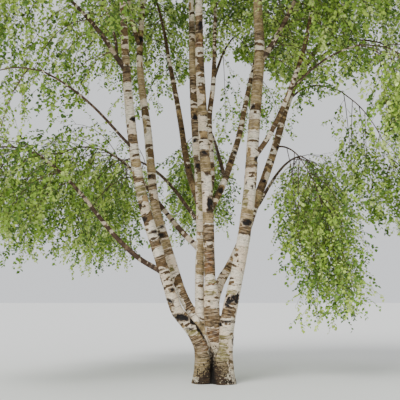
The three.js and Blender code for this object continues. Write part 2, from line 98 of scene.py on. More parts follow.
# %% Stems and boughs
TOP = {"leader": 2500, "droop": 0.05, "reach": 2100, "tall": 2600, "sag": 600}
SIDE = {"leader": 2000, "droop": 0.8, "reach": 2150, "tall": 2600, "sag": 1400}
WEEPING = {"leader": 2100, "droop": 0.8, "reach": 2050, "tall": 2400, "sag": 800}
ROWS = {  # in the order that the lesson above gives
    "stem_left_outer": (
        "left", None, 7700, (216, 44), TOP, [-17, -18, -14, -8, -6, -4, -3, -3, -5, -8], [-7],
        [0.1, 0.2, 0.1, 0.2, 0.5],
    ),
    "stem_left_inner": (
        "left_inner", None, 8300, (190, 44), TOP, [-17, -19, -7, -6, -10, 1, 3, 4, 2], [4, 4, 4, 8, 12],
        [0.1, 0.2, 0.2, 0.4, 0.6],
    ),
    "stem_left_fork": (
        "stem_left_inner", 6980, 3100, (96, 38), SIDE, [-20, -11, -13, -24, -30], [0, 0, -3, -6],
        [0.7, 0.6, 0.7],
    ),
    "stem_middle_left": (
        "middle_left", None, 9000, (180, 42), TOP, [3, 0, -4, -4, -2, -1, -1, 1, 2, 2], [3],
        [0.05, 0.1, 0.2, 0.5, 0.6],
    ),
    "stem_middle_front": (
        "middle", None, 8500, (216, 42), TOP, [-2, -1, -4, -3, -3, -1, 0, -1, -2, -3], [-3, -3, -4, -9, -14],
        [0.1, 0.15, 0.2, 0.4, 0.6],
    ),
    "stem_middle_back": (
        "stem_middle_front", 3480, 6100, (124, 38), SIDE, [18, -1, -4, 7, 3, 1, 2, 4, 6],
        [50, 10, 8, 8, 8, 10, 14, 18], [0.5, 0.55, 0.5, 0.6],
    ),
    "stem_right_main": (
        "right", None, 9100, (256, 46), TOP, [12, 9, 4, 5, 5, -2, 0, 3, 7, 9], [-3],
        [0.05, 0.1, 0.2, 0.4, 0.6],
    ),
    "stem_right_outer": (
        "middle_right", None, 7600, (182, 38), SIDE, [33, 20, 20, 22, 15, 17, 29, 34, 32, 22, 14], [9, 5, 7],
        [0.2, 0.6, 0.6, 0.75, 0.8],
    ),
    "stem_right_inner": (
        "stem_right_main", 4280, 5080, (104, 36), SIDE, [40, 28, 22, 19, 9, 12, 20, 26],
        [-8, -8, -9, -16, -22], [0.9, 0.6, 0.6, 0.8],
    ),
    "stem_back_left": (
        "stem_middle_left", 3480, 5700, (138, 38), SIDE, [-22, -13, -8, -10, -11, -9, -13, -16],
        [30, 14, 12, 12, 14, 22], [0.9, 1, 0.9, 0.85],
    ),
    "stem_back_right": (
        "stem_middle_front", 3230, 6000, (136, 38), SIDE, [30, 20, 17, 10, 14, 12, 10, 11],
        [18, 24, 16, 16, 18, 20], [0.4, 0.5, 0.45, 0.6],
    ),
    "bough_low_left": (
        "stem_left_outer", 2080, 3300, (108, 46), WEEPING, [-67, -51, -41, -38, -45, -54], [-10],
        [0.85, 0.6, 0.6, 0.8],
    ),
    "bough_arch_left": (
        "stem_middle_left", 2560, 3200, (124, 40), WEEPING, [-48, -40, -37, -37, -48, -62],
        [26, 20, 10, 8, 10], [0, 0.05, 0.4, 0.9],
    ),
    "bough_high_left": (
        "stem_left_outer", 6000, 2200, (106, 38), SIDE, [-38, -34, -42, -46, -48], [-14, -10], [0.8, 0.9],
    ),
    "bough_high_left_rear": (
        "bough_high_left", 6260, 2300, (62, 34), SIDE, [-2, -14, -20, -23, -28], [26, 18, 18], [0.9],
    ),
    "bough_right_high": (
        "stem_right_main", 6280, 2200, (126, 40), SIDE, [42, 30, 26, 22, 18], [-9, -6, 4, 16],
        [0.9, 0.6, 0.8],
    ),
    "bough_arch_right_low": (
        "stem_right_outer", 5870, 1300, (48, 30), WEEPING, [36, 62, 100, 120], [6, -8], [0.9],
    ),
    "bough_arch_right_middle": (
        "stem_right_outer", 6160, 2200, (58, 30), WEEPING, [46, 34, 54, 96, 112], [4, -2, -16], [0.9],
    ),
    "bough_arch_right_high": (
        "stem_right_outer", 7090, 1700, (56, 32), WEEPING, [52, 72, 84, 98], [16, 12], [0.9],
    ),
    "bough_hanging_right": (
        "stem_right_outer", 4800, 620, (38, 26), WEEPING, [78, 122, 146], [-22, -10], [0.9],
    ),
    "bough_back_low_left": (
        "stem_middle_left", 3080, 3500, (86, 38), WEEPING, [-36, -33, -40, -52, -66], [38, 36, 40, 46, 54],
        [0.8, 0.9],
    ),
    "bough_back_low": (
        "stem_back_right", 4000, 3200, (78, 38), WEEPING, [-8, -10, -10, -16, -30], [50, 44, 50, 62, 78],
        [0.8, 0.9],
    ),
    "bough_back_low_right": (
        "stem_right_outer", 3300, 3200, (80, 38), WEEPING, [36, 30, 34, 46, 62], [40, 38, 42, 48, 54],
        [0.8, 0.9],
    ),
    "bough_back_high": (
        "stem_middle_back", 6200, 2500, (62, 34), SIDE, [14, 14, 20, 30], [42, 38, 42, 52], [0.8, 0.9],
    ),
    "bough_front": (
        "stem_middle_front", 7650, 2300, (68, 34), SIDE, [0, 2, 2, 4], [-46, -40, -48, -60], [0.8, 0.9],
    ),
    "bough_front_left": (
        "stem_left_outer", 7300, 1900, (60, 32), SIDE, [-20, -18, -24, -32], [-40, -34, -40, -48], [0.8, 0.9],
    ),
    "bough_front_right": (
        "stem_right_main", 7500, 2500, (72, 34), SIDE, [18, 14, 16, 22], [-38, -34, -40, -48], [0.8, 0.9],
    ),
    "bough_low_front_right": (
        "stem_right_inner", 5650, 1650, (46, 28), WEEPING, [48, 54, 72, 92], [-34, -40], [0.9],
    ),
    "bough_low_front_left": (
        "stem_left_outer", 4450, 2300, (60, 32), WEEPING, [-46, -44, -56, -72], [-28, -34], [0.9],
    ),
}
COLUMNS = ("length", "girth", "foliage", "leans", "backs", "tones")
LIMBS = {}
for name, (carrier, at, *values) in ROWS.items():
    carried = {"after": carrier} if at is None else {"on": carrier, "at": at}
    LIMBS[name] = dict(zip(COLUMNS, values)) | carried
print("arms", len(ARMS), "limbs", len(LIMBS))

# %% [markdown]
# From leans to points
# The solids bend each limb at a few rings. Up close that would show as corners, so the bark runs along a
# smooth curve. A Catmull-Rom curve is used, because it passes through the same points and needs no handles.


# %% The limbs' bent lines
def unit(vectors):
    return vectors / np.linalg.norm(vectors, axis=-1, keepdims=True)


def direction(lean, back):
    side, depth = np.radians([lean, back])
    return np.array([np.sin(side) * np.cos(depth), np.sin(depth), np.cos(side) * np.cos(depth)])


def between(values, share):
    """What lies at a share of the way through some evenly placed values."""
    return np.interp(share, np.linspace(0, 1, len(values)), values)


def bent(foot, limb, kind):
    """The points of a limb from its foot, a straight step apart."""
    points = [np.array(foot, float)]
    step = limb["length"] * MM / kind["rings"]
    for ring in range(kind["rings"]):
        share = (ring + 0.5) / kind["rings"]
        way = direction(between(limb["leans"], share), between(limb["backs"], share))
        points.append(points[-1] + way * step)
    return np.array(points)


def kind_of(name):
    if name in ARMS:
        return ARM
    return STEM if "after" in LIMBS[name] else FORK if name.startswith("stem") else BOUGH


def at_height(points, height):
    """The point where a line first reaches a height."""
    above = int(np.argmax(points[:, 2] >= height))
    low, high = points[above - 1], points[above]
    return low + (high - low) * (height - low[2]) / (high[2] - low[2])


bends = {name: bent(np.array(arm["foot"]) * MM, arm, ARM) for name, arm in ARMS.items()}
for name, limb in LIMBS.items():
    if "after" in limb:
        arm_points = bends[limb["after"]]
        foot = arm_points[-1] + unit(arm_points[-1] - arm_points[-2]) * GAP
    else:
        foot = at_height(bends[limb["on"]], limb["at"] * MM)
    bends[name] = bent(foot, limb, kind_of(name))
print("highest limb tip", round(max(points[-1][2] for points in bends.values()), 2))


# %% Smooth curves through them
def smoothed(points, before=None, after=None, steps=12):
    """A Catmull-Rom curve through points. before and after are the points past its ends."""
    before = 2 * points[0] - points[1] if before is None else before
    after = 2 * points[-1] - points[-2] if after is None else after
    padded = np.vstack([before, points, after])
    a, b, c, d = padded[:-3], padded[1:-2], padded[2:-1], padded[3:]
    t = np.linspace(0, 1, steps, endpoint=False)[:, None, None]
    curve = b + 0.5 * ((c - a) * t + (2 * a - 5 * b + 4 * c - d) * t**2 + (3 * b - a - 3 * c + d) * t**3)
    return np.vstack([curve.transpose(1, 0, 2).reshape(-1, 3), points[-1:]])


def distances(points):
    return np.append(0, np.cumsum(np.linalg.norm(np.diff(points, axis=0), axis=1)))


def spaced(points, spacing):
    """The same line with its points an even spacing apart."""
    far = distances(points)
    even = np.linspace(0, far[-1], max(3, round(far[-1] / spacing) + 1))
    return np.stack([np.interp(even, far, points[:, axis]) for axis in range(3)], axis=1)


def framed(points, radii, start=0.0):
    """A line with, at each point, its way and the sides that face the back and the right."""
    ways = unit(np.gradient(points, axis=0))
    side = np.array([0.0, 1.0, 0.0])
    if abs(side @ ways[0]) > 0.9:
        side = np.array([1.0, 0.0, 0.0])
    rears = []
    for way in ways:
        side = unit(side - (side @ way) * way)
        rears.append(side)
    rears = np.array(rears)
    return SimpleNamespace(
        points=points, ways=ways, rears=rears, rights=np.cross(rears, ways), radii=radii,
        far=start + distances(points),
    )


RING_SPACING = 0.02
LIMB_OFFSET = 13.7  # metres along the grain between one limb's pattern and the next
followers = {limb["after"]: name for name, limb in LIMBS.items() if "after" in limb}
curves = {}
for number, name in enumerate([*ARMS, *LIMBS]):
    limb = ARMS.get(name) or LIMBS[name]
    own = bends[name]
    before = after = None
    start = number * LIMB_OFFSET
    if name in followers:
        ahead = bends[followers[name]]
        after = own[-1] + unit(ahead[1] - ahead[0]) * np.linalg.norm(own[-1] - own[-2])
    if "after" in limb:
        behind = bends[limb["after"]]
        before = own[0] - unit(behind[-1] - behind[-2]) * np.linalg.norm(own[1] - own[0])
        start = curves[limb["after"]].far[-1]
    line = spaced(smoothed(own, before, after), RING_SPACING)
    share = distances(line) / distances(line)[-1]
    radii = between(np.array(limb["girth"]) * MM / 2, share ** kind_of(name)["taper"])
    curves[name] = framed(line, radii, start)
print("metres of limb", round(sum(curve.far[-1] - curve.far[0] for curve in curves.values()), 1))

# %% [markdown]
# Marks on the bark
# A birch's thin white skin peels off in bands and shows tan, olive or rust skin below, and each lost branch
# leaves a black scar. These could all be left to chance. The large ones are placed here instead, so that the
# trunk is recognisable, and noise in the material adds small ones. A band holds its lowest and highest height
# and the turns between which it lies, or no turns where it goes all round. A turn of 0 faces the viewer and
# 90 is the right-hand side.

# %% Bands and scars
BANDS = {
    "left": {
        "tan": [(120, 480, -140, 90)],
        "brown": [(480, 905, -150, 60), (1440, 1500, -70, 0), (1700, 1775, -10, 70), (1850, 1990, -150, 10)],
        # the left arm's rust band, on its right side, is the arm's dark brown bark painted darker with
        # painted shade
        "rust": [(600, 790, 8, 80)], "olive": [(905, 1010, -60, 70)],
    },
    "left_inner": {"brown": [(1300, 1830, -25, 140)], "tan": [(1830, 1990, 20, 160)]},
    "middle": {
        "rust": [(770, 1035, -70, 60), (1842, 1868, -60, 120)], "brown": [(1060, 1415, -90, 90)],
        "olive": [(1655, 1740, -90, 40), (1880, 1955, -40, 120)],
    },
    "middle_left": {"tan": [(985, 1170, -120, 60)], "brown": [(1583, 1597), (1895, 1912)]},
    "middle_right": {"brown": [(1850, 1960, -120, -20), (1985, 2010, -90, 60), (2060, 2085, -90, 40)]},
    "middle_knee": {"tan": [(900, 1160)]},
    "right": {
        "olive": [(820, 905, -80, 50), (1660, 1745, -90, 10), (400, 780, -60, 20)],
        "brown": [(1225, 1440, -75, 40), (1838, 1858, -40, 90), (120, 420, -100, 12)],
    },
    "stem_left_outer": {
        "brown": [
            (2140, 2175), (2305, 2415), (2565, 2724), (3010, 3220, -140, 15), (3350, 3490, -120, -5),
            (3830, 3920), (4440, 4465), (4590, 4745), (5760, 6080), (6850, 7010),
        ],
        "olive": [(3570, 3770)], "tan": [(4130, 4243), (6130, 6260)],
    },
    "stem_left_inner": {
        "olive": [(2125, 2245, -100, 5)],
        "brown": [(2440, 2560), (2775, 2915), (3550, 3690, -120, 0), (3775, 3900, -90, 120), (4002, 4115)],
        "tan": [(2580, 2750), (3035, 3550), (4140, 4430), (5000, 5318, -130, -5), (5750, 6500)],
    },
    "stem_middle_left": {
        "tan": [(2060, 2780, -50, 150), (6250, 7030)], "olive": [(3330, 4140, -20, 120)],
        "brown": [(4200, 4350, -60, 60), (4360, 4510, -120, 20), (4900, 5277), (5950, 6240), (7200, 7500)],
    },
    "stem_middle_front": {
        "brown": [(2050, 2570, -80, 100), (2680, 3025), (4350, 4500, -90, 70), (6050, 6190), (6830, 7170)],
        "rust": [(2100, 2500, -40, 30), (6550, 6725)], "tan": [(3045, 3255), (4060, 4350), (5180, 5370)],
    },
    "stem_right_main": {
        "brown": [(2815, 3000, -60, 90), (4130, 4210), (4640, 4680), (5860, 6000), (6720, 6900)],
        "tan": [(3100, 3325), (4210, 4345), (4900, 5110), (5415, 5860), (6000, 6480), (6900, 7600)],
        "olive": [(3325, 3690, -120, -10)],
    },
    "stem_right_outer": {"brown": [(2180, 2290, -30, 90), (2900, 3250)], "tan": [(3600, 3800)]},
    "stem_back_right": {"brown": [(3970, 4150), (4350, 4480), (4700, 4790)]},
}
SCARS = {
    "left": [
        (1240, -8, 185, 130), (1550, -35, 110, 70), (1018, -5, 55, 40), (1765, 40, 60, 45),
        # the last, tall and narrow, is the crack where the left arm meets the middle ones: its black is
        # painted shade in the crack
        (1010, 66, 95, 400),
    ],
    "right": [
        (1600, 34, 120, 210), (1550, -14, 120, 120), (1110, -72, 75, 80), (1158, -18, 210, 26),
        (795, 62, 40, 90), (1470, -42, 60, 90),
    ],
    "middle_left": [(1040, -100, 60, 240)],
    "stem_left_outer": [(2865, 25, 110, 55), (3110, -70, 170, 110), (5040, 40, 90, 90), (3380, -40, 60, 60)],
    "stem_left_inner": [(3000, 5, 80, 36), (2850, -30, 120, 90), (4060, -30, 100, 60), (7120, -10, 130, 180)],
    "stem_middle_left": [(2910, 75, 60, 70), (4255, 0, 110, 110), (4815, -10, 70, 60), (5320, 0, 110, 90)],
    "stem_middle_front": [(3410, 28, 150, 290), (4005, 10, 70, 40), (4430, 0, 90, 60), (6990, 20, 90, 200)],
    "stem_right_main": [
        (3060, 8, 190, 105), (3830, -30, 60, 50), (3750, 20, 50, 60), (5350, -40, 90, 100),
        (4310, 75, 150, 120),
    ],
    "stem_back_right": [(3700, 0, 110, 90), (4350, 0, 90, 60), (4560, 10, 80, 60)],
    "stem_right_outer": [(2010, -50, 80, 60), (4010, 0, 70, 60), (4800, 40, 70, 60)],
    "stem_back_left": [(5200, 10, 60, 50), (4300, 0, 60, 40)],
}
SKINS = ("brown", "olive", "rust", "tan")
MARK_RANGE = 0.05  # a mark's depth is known this far inside and outside its edge
print("banded limbs", len(BANDS), "scars", sum(map(len, SCARS.values())))

# %% [markdown]
# Where a point lies on its limb
# A pattern that follows a limb needs to know how far along and where round the limb a point is. An unwrapped
# map would show a seam. Here a point's place across the limb and along it is one vector, and noise reads it
# with no seam. Each mark is kept as a depth inside its edge, which stays sharp when the shader cuts it.


# %% Reading marks at points
TURN_WANDERS = ((34, 9), (20, 23))  # how many degrees the sides of a mark stray, and how finely
HEIGHT_WANDER = (0.022, 8)
SCAR_WANDER = (0.25, 31)
LUMPS, RINGS = (0.045, 5.5), 0.018  # how far they stand out, as shares of a limb's radius
RING_WAVES = ((61, 0), (23, 1.3), (11.7, 0))
RIM, HOLLOW = 0.007, 0.016  # a scar's rim and hollow, in metres
RIM_WIDTH, HOLLOW_WIDTH = 0.012, 0.03
PLAIN_TONE = 0.1
tones = {name: limb["tones"] for name, limb in LIMBS.items()}
tones |= {arm: tones[stem][:1] for arm, stem in followers.items()}


def wander(grain, most, scale):
    """Smooth chance up to most either way, with no seam round a limb."""
    return most * np.array([noise.noise(Vector(place) * scale) for place in grain])


def marks_at(name, turn, grain, height):
    """The depth of a limb's points inside each kind of skin and inside the scars, in metres."""
    curve = curves[name]
    radius = np.interp(grain[:, 2], curve.far, curve.radii)
    for wandering in TURN_WANDERS:
        turn = turn + wander(grain, *wandering)
    height = height + wander(grain[:, ::-1], *HEIGHT_WANDER)
    skins = np.full((len(turn), len(SKINS)), -MARK_RANGE)
    for skin, bands in BANDS.get(name, {}).items():
        column = SKINS.index(skin)
        for low, high, *turns in bands:
            inside = np.minimum(height - low * MM, high * MM - height)
            if turns:
                across = np.minimum(turn - turns[0], turns[1] - turn) * np.pi / 180 * radius
                inside = np.minimum(inside, across)
            skins[:, column] = np.maximum(skins[:, column], inside.clip(-MARK_RANGE, MARK_RANGE))
    scar = np.full(len(turn), -MARK_RANGE)
    for level, facing, width, tall in SCARS.get(name, []):
        across = ((turn - facing + 180) % 360 - 180) * np.pi / 180 * radius
        off = np.hypot(across / (width * MM / 2), (height - level * MM) / (tall * MM / 2))
        off = off + wander(grain, *SCAR_WANDER)
        scar = np.maximum(scar, ((1 - off) * min(width, tall) * MM / 2).clip(-MARK_RANGE, MARK_RANGE))
    return skins, scar


def tones_at(name, far):
    """How brown the bark is. An arm is as brown as the foot of its stem."""
    curve = curves[name]
    share = (far - curve.far[0]) / (curve.far[-1] - curve.far[0])
    return between(tones.get(name, [PLAIN_TONE]), share.clip(0, 1))


def relief_at(grain, radius, scar):
    """How far the bark stands out: low lumps, rings round the limb, and the scars' rims and hollows."""
    rings = np.prod([np.sin(grain[:, 2] * wave + start) for wave, start in RING_WAVES], axis=0)
    rim = np.exp(-((scar + RIM_WIDTH) / RIM_WIDTH) ** 2)
    hollow = (scar / HOLLOW_WIDTH).clip(0, 1)
    return radius * (wander(grain, *LUMPS) + RINGS * rings) + RIM * rim - HOLLOW * hollow


def give(mesh, name, kind, values):
    """Stores an attribute on a mesh's points."""
    layer = mesh.attributes.new(name, kind, "POINT")
    layer.data.foreach_set("vector" if kind == "FLOAT_VECTOR" else "value", values.astype(np.float32).ravel())


def mark(mesh, grain, skins, scar, tone, crease_and_shade):
    """Stores what the bark's material reads."""
    give(mesh, "grain", "FLOAT_VECTOR", grain)
    give(mesh, "skins", "FLOAT_VECTOR", skins[:, :3])
    for name, values in (("tan", skins[:, 3]), ("scar", scar), ("tone", tone), ("crease_and_shade", crease_and_shade)):
        give(mesh, name, "FLOAT", values)


# %% [markdown]
# Tubes of bark
# A stem is a tube along its curve. A Blender curve with a bevel would make one too, but its points couldn't
# be marked. So a flat grid is bent round the limb. Merging doubles closes the seam, and the open ends are
# filled.


# %% Making a tube
def tube(curve, around, radii):
    """A tube as a bmesh, with each vertex's turn in degrees and its ring, at which its radius is given."""
    rings = len(curve.points) - 1
    made = bmesh.new()
    bmesh.ops.create_grid(made, x_segments=around, y_segments=rings, size=0.5)
    flat = np.array([vertex.co for vertex in made.verts])
    turn = flat[:, 0] * 360
    ring = np.rint((flat[:, 1] + 0.5) * rings).astype(int)
    angle = np.radians(turn)[:, None]
    out = np.sin(angle) * curve.rights[ring] - np.cos(angle) * curve.rears[ring]
    places = curve.points[ring] + out * radii(turn, ring)[:, None]
    for vertex, place in zip(made.verts, places):
        vertex.co = place
    return made, turn, ring


def closed(made):
    """Closes a tube's seam and ends."""
    bmesh.ops.remove_doubles(made, verts=made.verts, dist=1e-6)
    bmesh.ops.holes_fill(made, edges=made.edges)
    bmesh.ops.recalc_face_normals(made, faces=made.faces)


def placed(name, data):
    """A new object in the scene."""
    piece = bpy.data.objects.new(name, data)
    bpy.context.scene.collection.objects.link(piece)
    return piece


def shown(name, made):
    """Turns a bmesh into a smooth object."""
    mesh = bpy.data.meshes.new(name)
    made.to_mesh(mesh)
    made.free()
    mesh.polygons.foreach_set("use_smooth", [True] * len(mesh.polygons))
    return placed(name, mesh)


# %% [markdown]
# The trunk
# The arms have grown together. A Boolean union would leave sharp valleys between them, so a voxel remesh
# rebuilds them as one skin. Some smoothing softens the valleys, and a cut at ground level makes the foot
# flat.

# %% Flared arms as one skin
FLARE_HEIGHT, FLARE_SHARE, BUTTRESSES, BUTTRESS_SHARE = 0.23, 0.38, 5, 0.07
BELOW_GROUND = 0.12
COLLAR = {"middle": (-0.05, 0.1), "height": 0.51, "top": 0.06, "foot": 0.31}
WEB = {"middle": (-0.045, 0.095), "height": 1.02, "top": 0.07, "foot": 0.11}
VOXEL, SOFTENINGS = 0.011, 4
ARM_SIDES = 36
ARM_RADIUS = 0.11  # what the lumps and rings are shares of on the trunk
OVERLAP_RING = 3  # an arm's tube runs on to this ring of the stem that follows it
CREASE_WIDTH, CREASE_MOST = 0.045, 0.6  # where two arms meet: the valley sinks there and gets painted shade
WEB_DEPTH = 0.05  # where the skin lies outside all arms, in the web between them, it gets painted shade
FOOT_LUMPS, FOOT_SCALES, FOOT_FADE = 0.011, (16, 37), 0.22
CREASE_DEPTH, CUT_FADE = 0.008, 0.03


def flare(height, turn):
    """The root flare and its buttresses, as a factor on a trunk's radius."""
    near_ground = np.exp(-np.maximum(height, 0) / FLARE_HEIGHT)
    return 1 + near_ground * (FLARE_SHARE + BUTTRESS_SHARE * np.cos(BUTTRESSES * np.radians(turn + 90)))


def arm_radii(name, curve, turn, ring):
    flared = flare(curve.points[ring, 2], turn) if name in FLARED else 1
    return curve.radii[ring] * flared - MM


bundle = bmesh.new()
for name in ARMS:
    curve = curves[name]
    if name in followers:
        stem = curves[followers[name]]
        line = np.vstack([curve.points, stem.points[OVERLAP_RING]])
        curve = framed(line, np.append(curve.radii, stem.radii[OVERLAP_RING]))
    made, _, _ = tube(curve, ARM_SIDES, lambda turn, ring: arm_radii(name, curve, turn, ring))
    closed(made)
    arm_mesh = bpy.data.meshes.new(name)
    made.to_mesh(arm_mesh)
    bundle.from_mesh(arm_mesh)
    made.free()
for mound in (COLLAR, WEB):
    size = {"radius1": mound["foot"], "radius2": mound["top"], "depth": mound["height"]}
    cone = bmesh.ops.create_cone(bundle, cap_ends=True, segments=ARM_SIDES, **size)
    middle = Vector((*mound["middle"], mound["height"] / 2 - BELOW_GROUND))
    bmesh.ops.translate(bundle, verts=cone["verts"], vec=middle)
core = shown("trunk_bark", bundle)
remesh = core.modifiers.new("one skin", "REMESH")
remesh.mode, remesh.voxel_size = "VOXEL", VOXEL
skin = bpy.data.meshes.new_from_object(core.evaluated_get(bpy.context.evaluated_depsgraph_get()))
core.modifiers.clear()
print("trunk faces", len(skin.polygons))

# %% Soften, cut and mark the trunk
made = bmesh.new()
made.from_mesh(skin)
every_way = {"use_axis_x": True, "use_axis_y": True, "use_axis_z": True}
for _ in range(SOFTENINGS):
    bmesh.ops.smooth_vert(made, verts=made.verts, factor=0.5, **every_way)
ground = {"plane_co": (0, 0, 0), "plane_no": (0, 0, 1)}
bmesh.ops.bisect_plane(made, geom=made.verts[:] + made.edges[:] + made.faces[:], clear_inner=True, **ground)
bmesh.ops.holes_fill(made, edges=made.edges)
places = np.array([vertex.co for vertex in made.verts])
normals = np.array([vertex.normal for vertex in made.verts])
depths, nearest = [], []
for name in ARMS:
    curve = curves[name]
    rings = np.arange(0, len(curve.points), 2)
    apart = np.linalg.norm(places[:, None] - curve.points[None, rings], axis=2)
    best = apart.argmin(1)
    radius = curve.radii[rings][best]
    if name in FLARED:
        radius = radius * flare(places[:, 2], 0)
    depths.append(apart.min(1) - radius)
    nearest.append(rings[best])
depths, nearest = np.array(depths), np.array(nearest)
owner = depths.argmin(0)
ordered = np.sort(depths, axis=0)
# The crease mask is high where arms meet and in the web outside them. It sinks the valley there and sets the
# painted shade that the bark material puts in it.
meeting = CREASE_MOST * (1 - (ordered[1] - ordered[0]) / CREASE_WIDTH).clip(0, 1)
crease_and_shade = np.maximum(meeting, (ordered[0] / WEB_DEPTH - 0.1).clip(0, 1))
grain = np.zeros((len(places), 3))
skins = np.zeros((len(places), len(SKINS)))
scar, tone = np.zeros(len(places)), np.zeros(len(places))
for number, name in enumerate(ARMS):
    mine = np.flatnonzero(owner == number)
    curve, ring = curves[name], nearest[number][mine]
    off = places[mine] - curve.points[ring]
    right, rear, far = [(off * axes[ring]).sum(1) for axes in (curve.rights, curve.rears, curve.ways)]
    turn, far = np.degrees(np.arctan2(right, -rear)), curve.far[ring] + far
    grain[mine] = np.stack([right, rear, far], axis=1)
    skins[mine], scar[mine] = marks_at(name, turn, grain[mine], places[mine, 2])
    tone[mine] = tones_at(name, far)
relief = relief_at(grain, ARM_RADIUS, scar)
rough_foot = sum(wander(places, 1, scale) for scale in FOOT_SCALES)
relief += FOOT_LUMPS * rough_foot * np.exp(-places[:, 2] / FOOT_FADE) - CREASE_DEPTH * crease_and_shade
standing = (places[:, 2] / CUT_FADE).clip(0, 1)[:, None]
for vertex, place in zip(made.verts, places + normals * relief[:, None] * standing):
    vertex.co = place
made.to_mesh(core.data)
made.free()
core.data.polygons.foreach_set("use_smooth", [True] * len(core.data.polygons))
mark(core.data, grain, skins, scar, tone, crease_and_shade)
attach(core, "root")
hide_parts("trunk")
bark_pieces = [core]
print("trunk triangles", sum(len(face.vertices) - 2 for face in core.data.polygons))

# %% [markdown]
# Stems and boughs
# Above the trunk, each limb is its own tube. Thick stems get more sides than thin boughs, so that a face is
# about as wide as it is tall. A fork or bough swells a little where it leaves its parent and sinks into it.

# %% Growing the limbs
COLLAR_SWELL, COLLAR_LENGTH = 0.35, 0.09
SIDES = {"stem": 32, "bough": 14}
BOUGH_RING = 0.035


def limb_piece(name):
    """A limb's bark with its relief. Each vertex is numbered, so that its marks stay with it."""
    curve, kind = curves[name], name.split("_")[0]
    if kind == "bough":
        line = spaced(curve.points, BOUGH_RING)
        radii = np.interp(distances(line), curve.far - curve.far[0], curve.radii)
        curve = framed(line, radii, curve.far[0])
    swell = 1 + COLLAR_SWELL * np.exp(-(curve.far - curve.far[0]) / COLLAR_LENGTH) * ("on" in LIMBS[name])
    made, turn, ring = tube(curve, SIDES[kind], lambda turn, ring: curve.radii[ring] * swell[ring])
    angle, radius = np.radians(turn), curve.radii[ring]
    grain = np.stack([radius * np.sin(angle), -radius * np.cos(angle), curve.far[ring]], axis=1)
    skins, scar = marks_at(name, turn, grain, curve.points[ring, 2])
    number = made.verts.layers.int.new("number")
    lifts = relief_at(grain, radius, scar)
    for index, (vertex, middle, lift) in enumerate(zip(made.verts, curve.points[ring], lifts)):
        vertex.co += (vertex.co - Vector(middle)).normalized() * lift
        vertex[number] = index
    closed(made)
    kept = np.array([vertex[number] for vertex in made.verts])
    made.verts.layers.int.remove(number)
    piece = shown(f"{name}_bark", made)
    tone = tones_at(name, curve.far[ring])
    mark(piece.data, *[values[kept] for values in (grain, skins, scar, tone, np.zeros(len(ring)))])
    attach(piece, "root")
    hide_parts(name)
    return piece


for name in LIMBS:
    bark_pieces.append(limb_piece(name))
total = sum(len(face.vertices) - 2 for piece in bark_pieces for face in piece.data.polygons)
print("bark pieces", len(bark_pieces), "triangles", total)

# %% [markdown]
# Node helpers
# A material is a small program of nodes, and by hand it takes a line for each node and each link. These
# helpers make a node with its links in one call. A node's output can also be added and multiplied here like a
# number, and each such sum adds a maths node.


# %% Making nodes
class Value:
    """A node's output that can be reckoned with like a number."""

    def __init__(self, socket):
        self.socket, self.tree = socket, socket.id_data

    def maths(self, operation, first, second=0.0, clamp=False):
        return add(self.tree, "ShaderNodeMath", {0: first, 1: second}, operation=operation, use_clamp=clamp)

    def __add__(self, other):
        return self.maths("ADD", self, other)

    def __sub__(self, other):
        return self.maths("SUBTRACT", self, other)

    def __rsub__(self, other):
        return self.maths("SUBTRACT", other, self)

    def __mul__(self, other):
        return self.maths("MULTIPLY", self, other)


def feed(socket, value):
    """Links a socket, or sets it to a plain value or to a colour that is written as in e8dcc8."""
    if isinstance(value, Value):
        value.tree.links.new(value.socket, socket)
    elif isinstance(value, str):
        parts = np.array([int(value[i : i + 2], 16) for i in (0, 2, 4)]) / 255
        linear = np.where(parts <= 0.04045, parts / 12.92, ((parts + 0.055) / 1.055) ** 2.4)
        socket.default_value = (*linear, 1.0)
    else:
        socket.default_value = value


def new_node(tree, kind, inputs, **settings):
    made = tree.nodes.new(kind)
    for name, setting in settings.items():
        setattr(made, name, setting)
    for key, value in inputs.items():
        feed(made.inputs[key], value)
    return made


def add(tree, kind, inputs, output=0, **settings):
    """One output of a new node."""
    return Value(new_node(tree, kind, inputs, **settings).outputs[output])


def parts_of(value, kind="ShaderNodeSeparateXYZ"):
    """The three parts of a vector or colour."""
    return [Value(socket) for socket in new_node(value.tree, kind, {0: value}).outputs]


def vector_maths(operation, first, second):
    return add(first.tree, "ShaderNodeVectorMath", {0: first, 1: second}, operation=operation)


def cloud(vector, scale, detail=2.0, output="Fac"):
    """Smooth chance round 0.5, finer with a larger scale."""
    inputs = {"Vector": vector, "Scale": scale, "Detail": detail}
    return add(vector.tree, "ShaderNodeTexNoise", inputs, output)


def streaked(vector, scales, detail):
    """Smooth chance with its own scale along each axis."""
    return cloud(vector_maths("MULTIPLY", vector, scales), 1.0, detail)


def cut(value, low, high):
    """0 below low, 1 above high and a smooth step between."""
    inputs = {"Value": value, "From Min": low, "From Max": high}
    return add(value.tree, "ShaderNodeMapRange", inputs, interpolation_type="SMOOTHSTEP")


def mixed(share, first, second):
    """first where share is 0 and second where it is 1."""
    node = new_node(share.tree, "ShaderNodeMix", {}, data_type="RGBA")
    for key, value in (("Factor", share), ("A", first), ("B", second)):
        feed(next(socket for socket in node.inputs if socket.name == key and socket.enabled), value)
    return Value(next(socket for socket in node.outputs if socket.enabled))


def new_material(name, roughness=0.5, base=None, specular=0.5):
    """A material, its tree of nodes and its shader's inputs."""
    material = bpy.data.materials.new(name)
    material.use_nodes = True
    inputs = material.node_tree.nodes["Principled BSDF"].inputs
    feed(inputs["Roughness"], roughness)
    feed(inputs["Specular IOR Level"], specular)
    if base:
        feed(inputs["Base Color"], base)
    return material, material.node_tree, inputs


